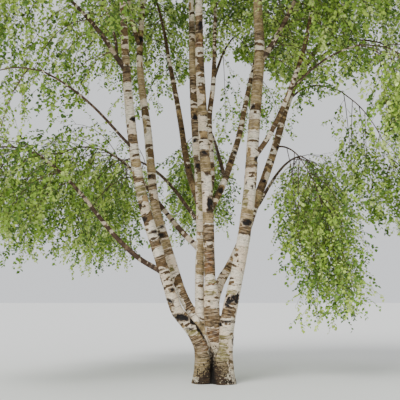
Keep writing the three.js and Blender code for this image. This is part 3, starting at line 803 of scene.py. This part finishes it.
def group(name, given, results):
    """An empty node group, with the values that it is given and the sockets of its results."""
    tree = bpy.data.node_groups.new(name, "ShaderNodeTree")
    for sockets, in_out in ((given, "INPUT"), (results, "OUTPUT")):
        for socket, kind in sockets.items():
            tree.interface.new_socket(socket, in_out=in_out, socket_type=kind)
    start = tree.nodes.new("NodeGroupInput").outputs
    return tree, [Value(start[socket]) for socket in given], tree.nodes.new("NodeGroupOutput").inputs


FLOAT, VECTOR = "NodeSocketFloat", "NodeSocketVector"

# %% [markdown]
# Lines round the stem
# Birch bark has thin level dashes, which it breathes through, and fine rings where one year's skin ends.
# Noise that is squeezed along the grain gives the dashes. The edges of one-dimensional Voronoi cells give the
# rings, at uneven heights.

# %% The lines group
lines, (grain,), results = group("bark lines", {"Grain": VECTOR}, {"Rings": FLOAT, "Dashes": FLOAT})
level = parts_of(grain)[2] + cloud(grain, 7.0) * 0.045
edges = add(
    lines, "ShaderNodeTexVoronoi", {"W": level, "Scale": 7.5, "Randomness": 1.0}, "Distance",
    voronoi_dimensions="1D", feature="DISTANCE_TO_EDGE",
)
feed(results["Rings"], (1.0 - cut(edges, 0.012, 0.05)) * cut(cloud(grain, 9.0), 0.44, 0.56))
dashes = streaked(grain, (17.0, 17.0, 230.0), 1.0) + cloud(grain, 4.0) * 0.25
feed(results["Dashes"], cut(dashes, 0.72, 0.77))
print(lines.name, "nodes", len(lines.nodes))

# %% [markdown]
# Patches of younger skin
# Where the outer skin has peeled, the edge runs level round the stem and drops in steps, so a patch is almost
# a rectangle. Voronoi cells measured by their longest side are boxes of that kind. Each cell has a random
# number: it is peeled if the number is under a share, and a second number picks its colour.

# %% The patches group
patches, (grain, share, size), results = group(
    "peeled patches", {"Grain": VECTOR, "Share": FLOAT, "Size": VECTOR}, {"Peeled": FLOAT, "Pick": FLOAT}
)
ragged = vector_maths("SUBTRACT", cloud(grain, 28.0, 3.0, "Color"), (0.5, 0.5, 0.5))
moved = vector_maths("ADD", grain, vector_maths("MULTIPLY", ragged, (0.03, 0.03, 0.018)))
cells = add(
    patches, "ShaderNodeTexVoronoi",
    {"Vector": vector_maths("MULTIPLY", moved, size), "Scale": 1.0, "Randomness": 0.9}, "Color",
    distance="CHEBYCHEV", feature="F1",
)
chance, pick, _ = parts_of(cells, "ShaderNodeSeparateColor")
feed(results["Peeled"], chance.maths("LESS_THAN", chance, share))
feed(results["Pick"], pick)
print(patches.name, "nodes", len(patches.nodes))

# %% [markdown]
# Placed marks
# The mesh carries the depth inside each mark. Cutting the depth at zero gives a hard edge. A little noise,
# stretched round the stem, is added first, so that the edge frays as torn bark does.

# %% The torn edge group
torn, (grain, depth, fray), results = group(
    "torn edge", {"Grain": VECTOR, "Depth": FLOAT, "Fray": FLOAT}, {"Inside": FLOAT}
)
shreds = streaked(grain, (14.0, 14.0, 60.0), 3.0) - 0.5
feed(results["Inside"], cut(depth + shreds * fray, -0.002, 0.003))
print(torn.name, "nodes", len(torn.nodes))

# %% [markdown]
# The bark itself
# The material is built up from the white skin down: cream, then peeled patches, placed bands, lines, scars,
# painted shade in the valleys between the arms, the rough dark foot with painted shade beside the slit
# between the two trunks, and painted shade in the slit itself. A limb's tone says how brown it is, so one
# recipe serves the white trunk and the brown tops. Bump adds only what is too fine to model.

# %% The bark material
def use(inner, **inputs):
    """The outputs of a node group that is placed where its first input is."""
    tree = inputs["grain"].tree
    inputs = {key.capitalize(): value for key, value in inputs.items()}
    return [Value(socket) for socket in new_node(tree, "ShaderNodeGroup", inputs, node_tree=inner).outputs]


def foot_masks(place, grain, blotches):
    """How mossy and how dark a point at the foot is, with painted shade beside the slit, and how deep it lies
    in the painted shade of the slit between the two trunks.
    """
    across, _, height = parts_of(place)
    beside = across.maths("ABSOLUTE", across + 0.06)
    flecks = height
    for value, weight in ((blotches, 1.1), (cloud(grain, 36.0, 3.0), 1.5)):
        flecks = flecks + (value - 0.5) * weight
    # Beside the slit the dark foot reaches higher. This is painted shade of the slit on the bark next to it,
    # added to the foot's own dark flecks.
    flecks = flecks + beside * 1.2
    # painted shade: a mask for the slit between the two trunks, which the bark material paints near black
    slit_shade = 1.0 - cut(beside + height * 0.1, 0.03, 0.1)
    slit_shade = slit_shade.maths("SUBTRACT", slit_shade, cut(height, 0.4, 0.56), clamp=True)
    return 1.0 - cut(flecks, 0.4, 1.2), 1.0 - cut(flecks, 0.38, 0.56), slit_shade


def bark_material(name, whites, peels, dark, line_strength, share, more_share, foot):
    """A birch bark in its whites, peels and darks. share is how much is peeled, with more_share by tone."""
    material, tree, inputs = new_material(name, specular=0.3)

    def attribute(name, output="Fac"):
        return add(tree, "ShaderNodeAttribute", {}, output, attribute_name=name)

    grain, scar = attribute("grain", "Vector"), attribute("scar")
    brown_depth, olive_depth, rust_depth = parts_of(attribute("skins", "Vector"))
    streaks = streaked(grain, (5.0, 5.0, 75.0), 4.0)
    blotches = cloud(grain, 11.0, 5.0)

    def blotched(low, high, first, second):
        return mixed(cut(blotches, low, high), first, second)

    def streaky(low, high, first, second, most):
        return mixed(cut(streaks, low, high) * most, first, second)

    def inside(depth, fray):
        return use(torn, grain=grain, depth=depth, fray=fray)[0]

    look = mixed(cut(cloud(grain, 2.3), 0.42, 0.6), whites[0], whites[1])
    look = blotched(0.5, 0.72, look, whites[2])
    look = streaky(0.5, 0.78, look, peels[0], 0.55)
    peeled_share = attribute("tone") * more_share + share
    broad, broad_pick = use(patches, grain=grain, share=peeled_share, size=(4.2, 4.2, 6.0))
    small, small_pick = use(patches, grain=grain, share=peeled_share * 0.7, size=(8.0, 8.0, 19.0))
    peel = mixed(cut(broad_pick, 0.3, 0.7), peels[0], peels[1])
    look = mixed(broad, look, blotched(0.45, 0.65, peel, peels[2]))
    look = mixed(small, look, mixed(small_pick, peels[1], peels[2]))
    brown = streaky(0.46, 0.6, blotched(0.4, 0.6, peels[1], dark[0]), peels[0], 0.6)
    for depth, under, left_white in (
        (attribute("tan"), blotched(0.42, 0.66, "a08a60", "75623f"), 0.5),
        (olive_depth, blotched(0.36, 0.6, "9c9261", "6f663a"), 0.9),
        (brown_depth, brown, 0.35),
        (rust_depth, blotched(0.42, 0.58, "7f5c37", "4c331d"), 0.6),
    ):
        under = streaky(0.53, 0.62, under, whites[1], left_white)
        look = mixed(inside(depth, 0.075), look, under)
    rings, dashes = use(lines, grain=grain)
    mossy, low, slit_shade = foot_masks(add(tree, "ShaderNodeTexCoord", {}, "Object"), grain, blotches)
    low = low * foot
    for mask, colour in (
        (rings * line_strength, dark[1]),
        (dashes * line_strength, dark[0]),
        (inside(scar + 0.02, 0.03) * 0.75, dark[0]),
        (inside(scar, 0.03), blotched(0.5, 0.68, "120d0a", "45321f")),
        # painted shade: near black in the valleys where the arms meet and in the web between them
        (cut(attribute("crease_and_shade"), 0.3, 0.85) * 0.95, "1c1510"),
        (mossy * (0.5 * foot), mixed(cut(streaks, 0.42, 0.6), "5d5136", "8c8262")),
        # the dark rough foot: the bark's own dark flecks, with painted shade beside the slit between the two
        # trunks
        (low, mixed(cut(streaks, 0.4, 0.6), "1d160f", "413121")),
        # painted shade: near black in the slit between the two trunks
        (slit_shade * (0.95 * foot), "120d0a"),
    ):
        look = mixed(mask, look, colour)
    feed(inputs["Base Color"], look)
    rough = broad * 0.15 + 0.62
    feed(inputs["Roughness"], rough.maths("ADD", rough, low * 0.2, clamp=True))
    relief = broad * -0.25
    for value, weight in ((rings, -0.5), (dashes, 0.35), (streaks, 0.35), (blotches, 0.3)):
        relief = relief + value * weight
    relief = relief + low * blotches * 2.5
    bump = add(tree, "ShaderNodeBump", {"Height": relief, "Distance": 0.006, "Strength": 0.8}, "Normal")
    feed(inputs["Normal"], bump)
    return material


stem_bark = bark_material(
    "birch_bark", ("e8dcc8", "dfcab0", "cbc2a8"), ("a3895f", "6c5537", "463522"), ("3a2b1c", "281e15"),
    line_strength=0.75, share=0.06, more_share=0.75, foot=1.0,
)
bough_bark = bark_material(
    "bough_bark", ("d6c7ae", "ac977a", "b8a98e"), ("75604a", "54402f", "3f3025"), ("34281e", "241b15"),
    line_strength=0.6, share=0.1, more_share=0.72, foot=0.0,
)
for piece in bark_pieces:
    piece.data.materials.append(bough_bark if piece.name.startswith("bough") else stem_bark)
print("bark materials on", len(bark_pieces), "pieces")

# %% [markdown]
# The masses' own spaces
# Each mass of foliage keeps to an egg round the middle of its leader twig, cut by a flat wall halfway to each
# neighbour, as in the CAD source. Arrays test thousands of points at once. The end of a limb bears shoots as
# its leader does.

# %% Leaders and spaces
LEADER_RINGS = 4
BEARING = 2.7  # metres at the end of each limb that bear shoots too
BEARER_STEPS = 36
WALL = 0.01  # metres on each side of the wall between two masses that stay clear


def twig_lines(foot, way, length, droop, steps):
    """Lines that start out one way each and bend down by droop for each metre."""
    points, step = [foot], (length / steps)[:, None]
    for _ in range(steps):
        way = unit(way - droop[:, None] * step * UP)
        points.append(points[-1] + way * step)
    return np.stack(points, axis=1)


def of_foliage(key):
    return np.array([limb["foliage"][key] for limb in LIMBS.values()])


reaches, talls, droops = of_foliage("reach") * MM, of_foliage("tall") * MM, of_foliage("droop")
tips = np.array([bends[name][-1] for name in LIMBS])
tip_ways = unit(tips - np.array([bends[name][-2] for name in LIMBS]))
leader_lines = twig_lines(tips + tip_ways * GAP, tip_ways, of_foliage("leader") * MM, droops, LEADER_RINGS)
middles = leader_lines[:, LEADER_RINGS // 2] - np.outer(of_foliage("sag") * MM, UP)
leaders = np.array([smoothed(line, steps=4) for line in leader_lines])
bearers = []
for name, leader in zip(LIMBS, leaders):
    curve = curves[name]
    bearer = np.vstack([curve.points[curve.far > curve.far[-1] - BEARING], leader])
    bearers.append(spaced(bearer, distances(bearer)[-1] / BEARER_STEPS))
bearers = np.array(bearers)
between_middles = np.linalg.norm(middles[:, None] - middles[None], axis=2)


def in_space(points, own, filled):
    """Whether points lie in their own masses' spaces. filled below 1 shrinks the egg."""
    off = points - middles[own]
    egg = (off[:, 0] ** 2 + off[:, 1] ** 2) / reaches[own] ** 2 + off[:, 2] ** 2 / talls[own] ** 2
    power = ((points[:, None] - middles[None]) ** 2).sum(2) - reaches**2
    rows = np.arange(len(points))
    clear = power - power[rows, own][:, None] >= 2 * between_middles[own] * WALL
    clear[rows, own] = True
    boxed = (points >= np.array(cad_box[0])) & (points <= np.array(cad_box[1]))
    return (egg <= filled**2) & clear.all(1) & boxed.all(1)


print("masses", len(leaders), "crown top", round(leaders[:, -1, 2].max(), 2))

# %% [markdown]
# The growing rule
# Shoots leave a twig at a spread, turn round it by the golden angle, vary in length by chance and bend down.
# The same rule, used again on the shoots, gives branchlets and then fine hanging twigs. A twig that would
# leave its space is grown shorter, and a thin limb carries fewer shoots. Chance comes from a fixed sequence
# of numbers, so the tree is the same each time.

# %% Chance, and shoots from twigs
FIRST_SEED = 7873
GOLDEN_TURN, TURN_MORE = 137.5, 40
SPREAD, SPREAD_MORE = 47, 16
SHOOTS = {"count": 42, "spread": SPREAD, "steps": 6, "first": 0.03, "last": 0.97}
BRANCHLETS = {"count": 8, "spread": SPREAD, "droop": 0.8, "length": 0.9, "steps": 3}
TWIGLETS = {"count": 4, "spread": 50, "droop": 2.2, "length": 0.55, "steps": 2}
SHORTER = 0.4  # how much shorter the shoots at a twig's tip are than those at its foot
LIMB_MARGIN = 0.03  # clear of a limb's bark
STOUT_TIP = 40  # millimetres across a limb's tip that carry every shoot
FILLED_LEAST = 0.65  # how much of its space the shortest twigs of a mass fill
NEARLY_UP = UP + [0.013, 0.007, 0]  # off plumb, so that no twig runs along it
limb_radii = np.concatenate([curve.radii[::2] for curve in curves.values()])
limb_places = KDTree(len(limb_radii))
for index, place in enumerate(np.concatenate([curve.points[::2] for curve in curves.values()])):
    limb_places.insert(place, index)
limb_places.balance()


def chances(seed):
    """Even numbers from 0 to 1, the same for the same seed."""
    while True:
        seed = seed * 16807 % 2147483647
        yield seed / 2147483647


dice = chances(FIRST_SEED)


def rolls(*shape):
    return np.array([next(dice) for _ in range(int(np.prod(shape)))]).reshape(shape)


def sites(lines, shares):
    """The places at some shares of each line's length, and the line's way at each."""
    place = shares.clip(0, 0.999) * (lines.shape[1] - 1)
    whole = place.astype(int)
    rows = np.arange(len(lines))[:, None]
    start, end = lines[rows, whole], lines[rows, whole + 1]
    spots = start + (end - start) * (place - whole)[..., None]
    return spots.reshape(-1, 3), unit(end - start).reshape(-1, 3)


def outwards(way, turn):
    """Straight out from twigs, at a turn round each."""
    side = unit(np.cross(way, NEARLY_UP))
    return side * np.cos(turn)[:, None] + np.cross(way, side) * np.sin(turn)[:, None]


def shoots_of(twigs, owns, count, spread, droop, length, steps, first=0.1, last=0.96):
    """Shoots from every twig at once. length is their length at the twig's foot."""
    parents, total = len(twigs), len(twigs) * count
    shares = np.linspace(first, last, count)[None] + (rolls(parents, count) - 0.5) / count
    foot, way = sites(twigs, shares)
    turn = np.radians(np.tile(np.arange(count) * GOLDEN_TURN, parents) + TURN_MORE * rolls(total))
    opening = np.radians(spread + SPREAD_MORE * (rolls(total) - 0.5))[:, None]
    way = way * np.cos(opening) + outwards(way, turn) * np.sin(opening)
    long = np.broadcast_to(length, parents).repeat(count) * (1 - SHORTER * shares.ravel())
    long = long * (0.75 + 0.5 * rolls(total))
    droops_now = np.broadcast_to(droop, parents).repeat(count)
    return fitted(foot, way, long, droops_now, np.repeat(owns, count), steps)


def clear_of_limbs(points):
    """Whether points stay off the bark of every limb."""
    found = [limb_places.find(point) for point in points]
    return np.array([far > limb_radii[index] + LIMB_MARGIN for _, index, far in found])


def fitted(foot, way, length, droop, own, steps):
    """Twigs that are shortened to stay in their space, or left out where little would be left."""
    lines = twig_lines(foot, way, length, droop, steps)
    filled = FILLED_LEAST + (1 - FILLED_LEAST) * rolls(len(foot))
    inside = np.stack([in_space(lines[:, i], own, filled) for i in range(1, steps + 1)], axis=1)
    kept = np.logical_and.accumulate(inside, axis=1).sum(1) / steps
    good = kept > 0
    lines = twig_lines(foot[good], way[good], (length * kept)[good], droop[good], steps)
    clear = clear_of_limbs(lines[:, 1:].reshape(-1, 3)).reshape(-1, steps).all(1)
    return lines[clear], own[good][clear]


masses = np.arange(len(leaders))
shoots, shoot_owns = shoots_of(bearers, masses, droop=0.8 + droops / 2, length=reaches, **SHOOTS)
stout = np.array([limb["girth"][-1] / STOUT_TIP for limb in LIMBS.values()]).clip(0, 1) ** 2
carried = rolls(len(shoots)) < stout[shoot_owns]
shoots, shoot_owns = shoots[carried], shoot_owns[carried]
branchlets, branchlet_owns = shoots_of(shoots, shoot_owns, **BRANCHLETS)
twiglets, twiglet_owns = shoots_of(branchlets, branchlet_owns, **TWIGLETS)
print("shoots", len(shoots), "branchlets", len(branchlets), "twiglets", len(twiglets))

# %% [markdown]
# Many small tubes at once
# A bmesh for each of thousands of twigs would take minutes. These three-sided tubes have the same number of
# rings, so one array holds all their corners and makes one mesh.


# %% Twigs as meshes
def twig_arrays(lines, thick, thin, around=3):
    """Corners and triangles of one closed tube for each line."""
    count, rings = lines.shape[:2]
    ways = unit(np.gradient(lines, axis=1))
    side = unit(np.cross(ways, NEARLY_UP))
    across = np.cross(ways, side)
    angle = np.arange(around) * 2 * np.pi / around
    radius = (thick + (thin - thick) * np.linspace(0, 1, rings))[None, :, None, None]
    out = side[:, :, None] * np.cos(angle)[:, None] + across[:, :, None] * np.sin(angle)[:, None]
    corners = (lines[:, :, None] + out * radius).reshape(-1, 3)
    ring, spot = np.meshgrid(np.arange(rings - 1), np.arange(around), indexing="ij")
    a = (ring * around + spot).ravel()
    b = (ring * around + (spot + 1) % around).ravel()
    fan = np.arange(1, around - 1)
    start, tip = np.zeros_like(fan), (rings - 1) * around
    walls = [(a, a + around, b), (b, a + around, b + around)]
    ends = [(start, fan, fan + 1), (tip + start, tip + fan + 1, tip + fan)]
    one = np.concatenate([np.stack(part, axis=1) for part in walls + ends])
    faces = (one[None] + np.arange(count)[:, None, None] * rings * around).reshape(-1, 3)
    return corners, faces


def joined_piece(name, parts):
    """One object from several pairs of corners and triangles."""
    corners = np.concatenate([part[0] for part in parts])
    starts = np.cumsum([0] + [len(part[0]) for part in parts[:-1]])
    faces = np.concatenate([part[1] + start for part, start in zip(parts, starts)])
    mesh = bpy.data.meshes.new(name)
    mesh.vertices.add(len(corners))
    mesh.vertices.foreach_set("co", corners.astype(np.float32).ravel())
    mesh.loops.add(faces.size)
    mesh.loops.foreach_set("vertex_index", faces.astype(np.int32).ravel())
    mesh.polygons.add(len(faces))
    mesh.polygons.foreach_set("loop_start", np.arange(0, faces.size, 3, dtype=np.int32))
    mesh.update(calc_edges=True)
    return placed(name, mesh)


# %% [markdown]
# Parts of the crown
# One mesh of all twigs or leaves would be too heavy to handle. Each part of the crown has one piece of twigs
# and one of leaves, which stand for the masses of foliage in it.

# %% Twigs of each part
CROWN = {
    "left": "left_outer left_fork high_left high_left_rear front_left",
    "low_left": "low_left arch_left low_front_left back_low_left back_low",
    "top": "left_inner middle_left middle_front right_main front",
    "back": "middle_back back_left back_right back_high",
    "right": "right_outer right_inner right_high front_right arch_right_high",
    "low_right": "arch_right_low arch_right_middle hanging_right back_low_right low_front_right",
}
mass_names = [name.split("_", 1)[1] for name in LIMBS]
crown_numbers = {part: [mass_names.index(name) for name in names.split()] for part, names in CROWN.items()}
LEADER_FOOT, LEADER_TIP, LEADER_SIDES = 0.92, 0.006, 6  # the first is a share of its limb's tip
TWIG_KINDS = (
    (shoots, shoot_owns, (0.011, 0.004)), (branchlets, branchlet_owns, (0.0042, 0.0022)),
    (twiglets, twiglet_owns, (0.0022, 0.0012)),
)
twig_bark, tree, inputs = new_material("twig_bark", roughness=0.7)
spots = cloud(add(tree, "ShaderNodeTexCoord", {}, "Object"), 9.0)
feed(inputs["Base Color"], mixed(cut(spots, 0.4, 0.6), "4a3628", "6b5341"))
for part, numbers in crown_numbers.items():
    pieces = []
    for number in numbers:
        tip = curves[list(LIMBS)[number]].radii[-1]
        pieces.append(twig_arrays(leaders[[number]], tip * LEADER_FOOT, LEADER_TIP, LEADER_SIDES))
    for grown, owns, radii in TWIG_KINDS:
        pieces.append(twig_arrays(grown[np.isin(owns, numbers)], *radii))
    twigs = joined_piece(f"twigs_{part}", pieces)
    twigs.data.materials.append(twig_bark)
    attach(twigs, "root")
    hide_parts(*[f"foliage_{mass_names[number]}" for number in numbers])
    print(twigs.name, "triangles", len(twigs.data.polygons))

# %% [markdown]
# Leaves
# A birch leaf is a pointed oval that hangs. A card with a picture of it would be lighter, but flat and dull
# up close. Each one here is six corners and four faces, folded a little along its midrib, so that its halves
# catch the light differently. The leaves of one fine twig share a green.

# %% Leaves on the twigs
LEAF_LENGTH, LEAF_VARIES = 0.074, 0.3
LEAF_OUTLINE = [(0.0, 0.0), (0.34, 0.4), (0.68, 0.28), (1.0, 0.0), (0.68, -0.28), (0.34, -0.4)]
LEAF_FOLD, LEAF_TILT, LEAF_SWING = 0.3, 1.3, 2.2
LEAF_ALONG, LEAF_OUT, HANG_LEAST, HANG_MORE = 0.4, 0.8, 0.15, 0.5
LEAFLESS = 0.12  # the share of a twig at its foot that bears no leaves
LEAF_FACES = np.array([(0, 1, 2), (0, 2, 3), (0, 3, 4), (0, 4, 5)])
LEAVES_ON = {"twiglet": 8, "branchlet": 5}
greens = ("b1cb57", "99ba48", "7ea23a", "56772b", "cde083")
leaf_materials = [new_material(f"leaf_{code}", 0.5, code, 0.35)[0] for code in greens]


def leaves_on(lines, count):
    """Corners of the leaves that stand along each line, and the number of the line that each is on."""
    twigs, total = len(lines), len(lines) * count
    shares = (np.arange(count)[None] + rolls(twigs, count)) / count
    foot, way = sites(lines, LEAFLESS + (1 - LEAFLESS) * shares)
    out = outwards(way, np.pi * np.tile(np.arange(count), twigs) + LEAF_SWING * (rolls(total) - 0.5))
    hang = (HANG_LEAST + HANG_MORE * rolls(total))[:, None]
    leaf_way = unit(LEAF_ALONG * way + LEAF_OUT * out - hang * UP)
    tilt = (rolls(3, total) - 0.5).T
    across = unit(np.cross(leaf_way, UP + LEAF_TILT * tilt))
    normal = np.cross(across, leaf_way)
    size = (LEAF_LENGTH * (1 + LEAF_VARIES * (2 * rolls(total) - 1)))[:, None]
    corners = [
        foot + size * (along * leaf_way + wide * across + LEAF_FOLD * abs(wide) * normal)
        for along, wide in LEAF_OUTLINE
    ]
    return np.stack(corners, axis=1), np.repeat(np.arange(twigs), count)


leaf_count = 0
for part, numbers in crown_numbers.items():
    fine = twiglets[np.isin(twiglet_owns, numbers)]
    coarse = branchlets[np.isin(branchlet_owns, numbers)]
    leaves, spray = leaves_on(fine, LEAVES_ON["twiglet"])
    more, more_spray = leaves_on(coarse, LEAVES_ON["branchlet"])
    leaves, spray = np.concatenate([leaves, more]), np.append(spray, more_spray + len(fine))
    shade = (rolls(len(fine) + len(coarse)) * len(greens)).astype(int)
    faces = (LEAF_FACES[None] + np.arange(len(leaves))[:, None, None] * len(LEAF_OUTLINE)).reshape(-1, 3)
    piece = joined_piece(f"leaves_{part}", [(leaves.reshape(-1, 3), faces)])
    for leaf in leaf_materials:
        piece.data.materials.append(leaf)
    picks = np.repeat(shade[spray], len(LEAF_FACES)).astype(np.int32)
    piece.data.polygons.foreach_set("material_index", picks)
    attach(piece, "root")
    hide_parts(*[f"foliage_{mass_names[number]}" for number in numbers])
    leaf_count += len(leaves)
    print(piece.name, "leaves", len(leaves), "triangles", len(faces))
print("leaves in all", leaf_count)

# %% [markdown]
# Floor, light and camera
# The day in the picture is bright but grey, so most of the light comes from all round, with one soft key from
# the upper left. The camera stands at eye height and looks up a little, so that the crown runs out of the
# picture as it does there.

# %% The studio
FLOOR_SIZE = 400.0
made = bmesh.new()
bmesh.ops.create_grid(made, x_segments=1, y_segments=1, size=FLOOR_SIZE / 2)
floor = shown("floor", made)
floor.data.materials.append(new_material("floor", 0.9, (0.72, 0.72, 0.7, 1))[0])

world = bpy.data.worlds.new("studio")
bpy.context.scene.world = world
world.use_nodes = True
sky = world.node_tree.nodes["Background"].inputs
sky["Color"].default_value = (0.95, 0.97, 1.0, 1)
sky["Strength"].default_value = 1.0

key = bpy.data.lights.new("key", "SUN")
key.energy, key.angle = 3.4, np.radians(35)
placed("key", key).rotation_euler = np.radians((48, 0, -38))
print("floor of", FLOOR_SIZE, "m, and a key light of", round(key.energy, 1))

# %% The camera
PHOTO_SIDE = 400
FOCAL_PIXELS = 620
PITCH = 9
camera = bpy.data.cameras.new("camera")
camera.sensor_width = 36
camera.lens = FOCAL_PIXELS * camera.sensor_width / PHOTO_SIDE
camera.clip_start, camera.clip_end = 0.1, 1000
eye = placed("camera", camera)
eye.location = (-0.296, -12.24, 1.6)
eye.rotation_euler = (np.radians(90 + PITCH), 0, 0)
bpy.context.scene.camera = eye
print("lens", round(camera.lens, 1), "mm")
